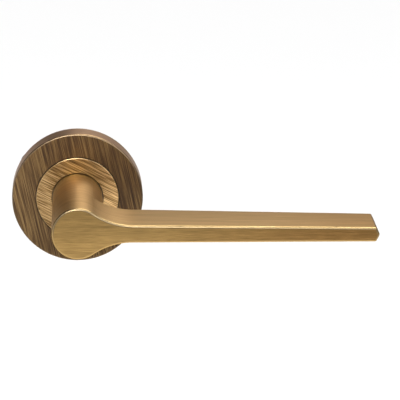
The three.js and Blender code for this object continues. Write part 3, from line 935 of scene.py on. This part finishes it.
def make_rose_cover():
    """The turned shell, with its front edge rounded."""
    inside = ROSE_R - COVER_WALL
    opening = RING_R + GAP
    profile = softened(
        [
            (opening, ROSE_FRONT, 0.12),
            (ROSE_R, ROSE_FRONT, ROSE_EDGE),
            (ROSE_R, 0, 0.25),
            (inside, 0, 0.2),
            (inside, ROSE_FRONT + COVER_WALL, 0.8),
            (opening, ROSE_FRONT + COVER_WALL, 0.2),
        ],
        steps=8,
    )
    return turned("rose_cover_detail", profile, 192)


def make_collar_ring():
    """The ring round the neck, with the skirt that grips the plate's tube."""
    profile = softened(
        [
            (RING_BORE_R, RING_FRONT, 0.15),
            (RING_R, RING_FRONT, 0.3),
            (RING_R, RING_BACK, 0.05),
            (RING_R - GAP, RING_BACK, 0),
            (RING_R - GAP, RING_SKIRT),
            (BOSS_OUTER_R + GAP, RING_SKIRT),
            (BOSS_OUTER_R + GAP, RING_BACK),
            (RING_POCKET_R, RING_BACK),
            (RING_POCKET_R, RING_FRONT + RING_LIP, 0.05),
            (RING_BORE_R, RING_FRONT + RING_LIP, 0.1),
        ],
        steps=6,
    )
    return turned("collar_ring_detail", profile, 192)


def make_wear_ring():
    outer = high("wear_ring", X)
    y0, y1 = low("wear_ring", Y), high("wear_ring", Y)
    return soft_ring("wear_ring_detail", WEAR_RING_BORE_R, outer, y0, y1, 0.15)


def make_bearing_bush():
    """The flanged bush that the spigot turns in."""
    y0, y1 = low("bearing_bush", Y), high("bearing_bush", Y)
    bore, flange_r = SPIGOT_R + RUNNING, high("bearing_bush", X)
    flange_front = y1 - BUSH_FLANGE
    sleeve = [(bore, y0), (BUSH_SLEEVE_R, y0), (BUSH_SLEEVE_R, flange_front)]
    flange = [(flange_r, flange_front), (flange_r, y1), (bore, y1)]
    return turned("bearing_bush_detail", softened(sleeve + flange, 0.15))


def make_o_ring():
    middle = (low("cover_o_ring", Y) + high("cover_o_ring", Y)) / 2
    radius = high("cover_o_ring", X) - O_RING_R
    return turned("cover_o_ring_detail", arc(radius, middle, O_RING_R, 0, 345, 23))


def add_bolt_place(plate, side):
    """A boss in front of the plate and a stud behind it, with the bolt's counterbored hole."""
    front, end = BOLT_BOSS_FRONT, high("mounting_plate", Y)
    boss_foot, stud_foot = -1.0, -1.5  # inside the plate's thickness
    boss = [(0, front, 0), (BOLT_BOSS_R, front, 0.3), (BOLT_BOSS_R, boss_foot, 0), (0, boss_foot, 0)]
    stud = [(0, stud_foot, 0), (STUD_R, stud_foot, 0), (STUD_R, end, 0.5), (0, end, 0)]
    for corners in (boss, stud):
        join(plate, moved(turned("boss", softened(corners), 64), side * BOLT_X))
    clear = -12  # in front of the plate
    cut(
        plate,
        moved(disc("hole", BOLT_HOLE_R, clear, end + 2), side * BOLT_X),
        moved(disc("hole", COUNTERBORE_R, clear, BOLT_SEAT), side * BOLT_X),
    )


def cut_wood_screw_hole(plate, side):
    """A countersunk hole above or below the lever."""
    sunk = [
        (0, PLATE_FLOOR - 1),
        (WOOD_SCREW_HEAD_R, PLATE_FLOOR - 1),
        (WOOD_SCREW_HEAD_R, PLATE_FLOOR),
        (WOOD_SCREW_R, WOOD_SCREW_SUNK),
        (WOOD_SCREW_R, 1),
        (0, 1),
    ]
    cut(plate, moved(turned("sunk", sunk, 64), 0, 0, side * BOLT_X))


def make_mounting_plate():
    """The die-cast plate, with its central tube, its web and its outer rim."""
    groove = (O_RING_GROOVE_Y - O_RING_GROOVE_HALF, O_RING_GROOVE_Y + O_RING_GROOVE_HALF)
    plate = turned(
        "mounting_plate_detail",
        softened(
            [
                (RECESS_R, 0, 0.25),
                (RECESS_R, WEB_BACK),
                (WEB_BORE_R, WEB_BACK, 0.1),
                (WEB_BORE_R, WEB_FRONT, 0.1),
                (BOSS_INNER_R, WEB_FRONT, 0.3),
                (BOSS_INNER_R, DRIVER_FRONT),
                (BOSS_OUTER_R, DRIVER_FRONT),
                (BOSS_OUTER_R, PLATE_FLOOR, 0.6),
                (PLATE_RIM_R, PLATE_FLOOR, 0.6),
                (PLATE_RIM_R, PLATE_FRONT, 0.2),
                (PLATE_R, PLATE_FRONT, 0.2),
                (PLATE_R, groove[0], 0.1),
                (O_RING_GROOVE_R, groove[0], 0.1),
                (O_RING_GROOVE_R, groove[1], 0.1),
                (PLATE_R, groove[1], 0.1),
                (PLATE_R, 0, 0.3),
            ]
        ),
    )
    for side in (-1, 1):
        add_bolt_place(plate, side)
        cut_wood_screw_hole(plate, side)
    # The arc in which the stop tab swings, and the slot that holds the spring's fixed leg.
    tab_half = math.degrees(math.asin(STOP_TAB_HALF / BOSS_INNER_R)) + 1
    wall = (BOSS_INNER_R - 0.5, BOSS_OUTER_R + 0.3)
    swing = (STOP_TAB_ANGLE - tab_half, STOP_TAB_ANGLE + TURN + tab_half)
    cut(
        plate,
        sector("window", *wall, *swing, DRIVER_FRONT - 1, DRIVER_BACK + RUNNING),
        tab("leg_slot", SPRING_FIXED_ANGLE, *wall, SPRING_SLOT_HALF, DRIVER_FRONT - 1, WEB_FRONT),
    )
    return plate


def spring_path():
    """The strip's middle line: a leg, a bend, the coil, a bend and the other leg, as (x, y, z)."""
    bend, bend_steps, coil_step = 1.5, 8, 5
    off = math.sqrt((SPRING_MEAN_R + bend) ** 2 - bend**2)
    swing = math.degrees(math.asin(bend / (SPRING_MEAN_R + bend)))
    first, last = SPRING_FIXED_ANGLE, SPRING_MOVING_ANGLE
    y_first = WEB_FRONT - GAP - SPRING_STRIP / 2
    y_last = y_first - SPRING_PITCH * (last - first) / 360

    def leg(degrees, side, end_r, y):
        """From the leg's end to where the bend meets the coil."""
        a = math.radians(degrees)
        out, along = Vector((math.sin(a), 0, math.cos(a))), Vector((math.cos(a), 0, -math.sin(a)))
        centre = side * bend * along + off * out
        places = [end_r * out, (end_r + off) / 2 * out]
        for k in range(bend_steps + 1):
            b = math.radians(90 - swing) * k / bend_steps
            places.append(centre - bend * (side * math.cos(b) * along + math.sin(b) * out))
        return [(p.x, y, p.z) for p in places]

    coil = []
    start, end = first + swing, last - swing
    count = int((end - start) / coil_step)
    for i in range(1, count):
        share = i / count
        a = math.radians(start + (end - start) * share)
        y = y_first + (y_last - y_first) * share
        coil.append((SPRING_MEAN_R * math.sin(a), y, SPRING_MEAN_R * math.cos(a)))
    return leg(first, 1, SPRING_FIXED_LEG_R, y_first) + coil + leg(last, -1, LUG_R, y_last)[::-1]


def make_return_spring():
    """A flat strip swept along its path."""
    path = [Vector(p) for p in spring_path()]
    a, b = SPRING_WIDTH / 2, SPRING_STRIP / 2
    section = softened([(-a, -b), (a, -b), (a, b), (-a, b)], 0.2, 3)
    mesh = MeshBuilder()
    rings = []
    for i, here in enumerate(path):
        run = path[min(i + 1, len(path) - 1)] - path[max(i - 1, 0)]
        across = Vector((run.z, 0, -run.x)).normalized()
        rings.append(mesh.points([tuple(here + across * w + Vector((0, t, 0))) for w, t in section]))
    mesh.face(rings[0])
    mesh.face(rings[-1])
    for one, other in zip(rings, rings[1:]):
        mesh.strip(one, other)
    return make_piece("return_spring_detail", mesh.vertices, mesh.faces)


# ---------------------------------------------------------------- fixings

def make_through_bolt(side, label):
    """A threaded bolt with a crowned head and a crossed recess."""
    node = f"through_bolt_{label}"
    head_top, end = low(node, Y), high(node, Y)
    head_back = head_top + BOLT_HEAD
    pitch, depth = 0.7, 0.3
    thread_start, thread_end = 5.0, end - 0.5

    def thread(r, y, angle):
        if not thread_start <= y <= thread_end:
            return r
        fade = min(1.0, (y - thread_start) / pitch, (thread_end - y) / pitch)
        return r - depth * fade * (0.5 + 0.5 * math.cos(2 * math.pi * y / pitch - angle))

    rows_per_turn = 8
    length = thread_end - thread_start
    count = int(length / pitch * rows_per_turn)
    shank = [(BOLT_R, thread_start + length * i / count) for i in range(count + 1)]
    crown_r = 0.9
    crown = arc(BOLT_HEAD_R - crown_r, head_top + crown_r, crown_r, -90, 0, 8)
    under_head = [(BOLT_HEAD_R, head_back), (BOLT_R, head_back)]
    profile = [(0, head_top), *crown, *under_head, *shank, (BOLT_R - 0.5, end), (0, end)]
    bolt = turned(f"through_bolt_detail_{label}", profile, SMALL_FACETS, thread)
    long, thin, deep = 2, 0.45, 1.5
    for x, z in ((long, thin), (thin, long)):
        cut(bolt, block("cross", (-x, head_top - 1, -z), (x, head_top + deep, z)))
    return moved(bolt, side * BOLT_X)


def make_sleeve_nut(side, label):
    """A barrel nut with a slotted, rounded head."""
    node = f"sleeve_nut_{label}"
    mouth, head = low(node, Y), high(node, Y)
    seat = head - NUT_HEAD
    profile = softened(
        [
            (NUT_BORE_R, mouth, 0.2),
            (NUT_R, mouth, 0.3),
            (NUT_R, seat, 0.1),
            (NUT_HEAD_R, seat, 0.2),
            (NUT_HEAD_R, head, 0.8),
            (NUT_BORE_R, head, 0.2),
        ],
        steps=6,
    )
    nut = turned(f"sleeve_nut_detail_{label}", profile, 64)
    across, slot_depth, slot_half = 6, 1.2, 0.6
    low_corner, high_corner = (-across, head - slot_depth, -slot_half), (across, head + 1, slot_half)
    cut(nut, block("slot", low_corner, high_corner))
    return moved(nut, side * BOLT_X)


def make_bolt_washer(side, label):
    node = f"bolt_washer_{label}"
    y0, y1 = low(node, Y), high(node, Y)
    name = f"bolt_washer_detail_{label}"
    return moved(soft_ring(name, BOLT_R + GAP, WASHER_R, y0, y1, 0.08, 64), side * BOLT_X)


# ---------------------------------------------------------------- the assembly

stand_for(make_lever(), "lever", lever_face, lever_side, lever_edge)
stand_for(make_spindle(), "spindle", steel)
stand_for(make_grub_screw(), "grub_screw", spring_steel)
stand_for(make_spring_driver(), "spring_driver", steel)
stand_for(make_circlip(), "circlip", spring_steel)
stand_for(make_thrust_washer(), "thrust_washer", steel)
stand_for(make_mounting_plate(), "mounting_plate", zinc)
cover = stand_for(make_rose_cover(), "rose_cover", rose_face, rose_side, rose_edge)
ring = stand_for(make_collar_ring(), "collar_ring", ring_face, ring_edge, ring_edge)
stand_for(make_wear_ring(), "wear_ring", black_nylon)
stand_for(make_bearing_bush(), "bearing_bush", nylon)
stand_for(make_o_ring(), "cover_o_ring", rubber)
spring = stand_for(make_return_spring(), "return_spring", spring_steel)
for side, label in ((-1, "left"), (1, "right")):
    stand_for(make_through_bolt(side, label), f"through_bolt_{label}", steel)
    stand_for(make_sleeve_nut(side, label), f"sleeve_nut_{label}", steel)
    stand_for(make_bolt_washer(side, label), f"bolt_washer_{label}", steel)

# The cover and the ring are brushed on their faces, and smoother on their sides and rounded edges.
FLAT_FACING, SIDE_FACING = 0.97, 0.05  # how squarely a polygon faces along Y
for piece in (cover, ring):
    for polygon in piece.data.polygons:
        facing = abs(polygon.normal.y)
        polygon.material_index = FACE if facing > FLAT_FACING else SIDE if facing < SIDE_FACING else EDGE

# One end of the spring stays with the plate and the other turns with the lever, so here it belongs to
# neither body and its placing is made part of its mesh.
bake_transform(spring)


# ---------------------------------------------------------------- stage, light and camera

def make_floor():
    """A wide white floor well below the handle."""
    height, half = -0.6, 8.0
    mesh = bpy.data.meshes.new("floor")
    corners = [(x, y, height) for x, y in ((-half, -half), (half, -half), (half, half), (-half, half))]
    mesh.from_pydata(corners, [], [(0, 1, 2, 3)])
    floor = bpy.data.objects.new("floor", mesh)
    bpy.context.scene.collection.objects.link(floor)
    material, tree, shader = new_material("floor_white")
    shader.inputs["Base Color"].default_value = (0.93, 0.93, 0.93, 1)
    shader.inputs["Roughness"].default_value = 0.9
    shader.inputs["Specular IOR Level"].default_value = 0.0
    mesh.materials.append(material)


def make_light(name, place, aim, size, power):
    """A rectangular lamp that the camera doesn't see."""
    light = bpy.data.lights.new(name, "AREA")
    light.shape = "RECTANGLE"
    light.size, light.size_y = size
    light.energy = power
    lamp = bpy.data.objects.new(name, light)
    lamp.location = place
    lamp.rotation_euler = (Vector(aim) - Vector(place)).to_track_quat("-Z", "Y").to_euler()
    lamp.visible_camera = False
    bpy.context.scene.collection.objects.link(lamp)


def make_sun(direction, strength, spread):
    """A large soft light from far away, its spread in degrees."""
    light = bpy.data.lights.new("softbox", "SUN")
    light.energy = strength
    light.angle = math.radians(spread)
    lamp = bpy.data.objects.new("softbox", light)
    lamp.rotation_euler = Vector(direction).to_track_quat("-Z", "Y").to_euler()
    bpy.context.scene.collection.objects.link(lamp)


def make_world(horizon, zenith, bright_below, dark_above):
    """A pale horizon that fades to the zenith's brightness between two elevations in degrees."""
    world = bpy.data.worlds.new("studio")
    world.use_nodes = True
    tree = world.node_tree
    tree.nodes.clear()
    direction = add(tree, "ShaderNodeTexCoord").outputs["Generated"]
    rise = add(tree, "ShaderNodeSeparateXYZ", {0: direction}).outputs["Z"]
    fade = add(
        tree,
        "ShaderNodeMapRange",
        {
            "Value": rise,
            "From Min": math.sin(math.radians(bright_below)),
            "From Max": math.sin(math.radians(dark_above)),
            "To Min": horizon,
            "To Max": zenith,
        },
    )
    background = add(tree, "ShaderNodeBackground", {"Color": (1, 1, 1, 1), "Strength": fade.outputs[0]})
    output = add(tree, "ShaderNodeOutputWorld")
    tree.links.new(background.outputs[0], output.inputs[0])
    bpy.context.scene.world = world


def make_camera():
    """A long lens in front of the handle, above it and a little to its left."""
    yaw, pitch, roll = (math.radians(a) for a in (3.02, 15.43, 0.93))
    distance, lens = 1000 * MM, 230.5
    target = Vector((47.7, -30, 4.75)) * MM
    forward = Vector((math.sin(yaw) * math.cos(pitch), math.cos(yaw) * math.cos(pitch), -math.sin(pitch)))
    level = Vector((math.cos(yaw), -math.sin(yaw), 0))
    rise = level.cross(forward)
    right = level * math.cos(roll) + rise * math.sin(roll)
    up = rise * math.cos(roll) - level * math.sin(roll)
    data = bpy.data.cameras.new("camera")
    data.lens, data.sensor_width = lens, 36
    data.clip_start, data.clip_end = 0.01, 50
    camera = bpy.data.objects.new("camera", data)
    place = target - forward * distance
    rows = [(right[i], up[i], -forward[i], place[i]) for i in range(3)]
    camera.matrix_world = Matrix([*rows, (0, 0, 0, 1)])
    bpy.context.scene.collection.objects.link(camera)
    bpy.context.scene.camera = camera


make_floor()
make_world(0.85, 0.02, 5, 15)
make_sun((-0.3, -0.5, -0.8), 3.8, 40)
make_light("front_left", (-0.1, -0.6, 0.5), (0, -0.05, 0), (0.35, 0.35), 19)
make_light("front_right", (0.5, -0.5, 0.4), (0.04, -0.05, 0), (0.4, 0.4), 8)
make_light("left", (-0.5, -0.3, 0), (0, -0.03, 0), (0.5, 0.5), 2)
make_light("behind", (0.15, 0.4, 0.55), (0.04, -0.05, 0), (0.4, 0.3), 11)
make_camera()
bpy.context.scene.view_settings.view_transform = "Standard"
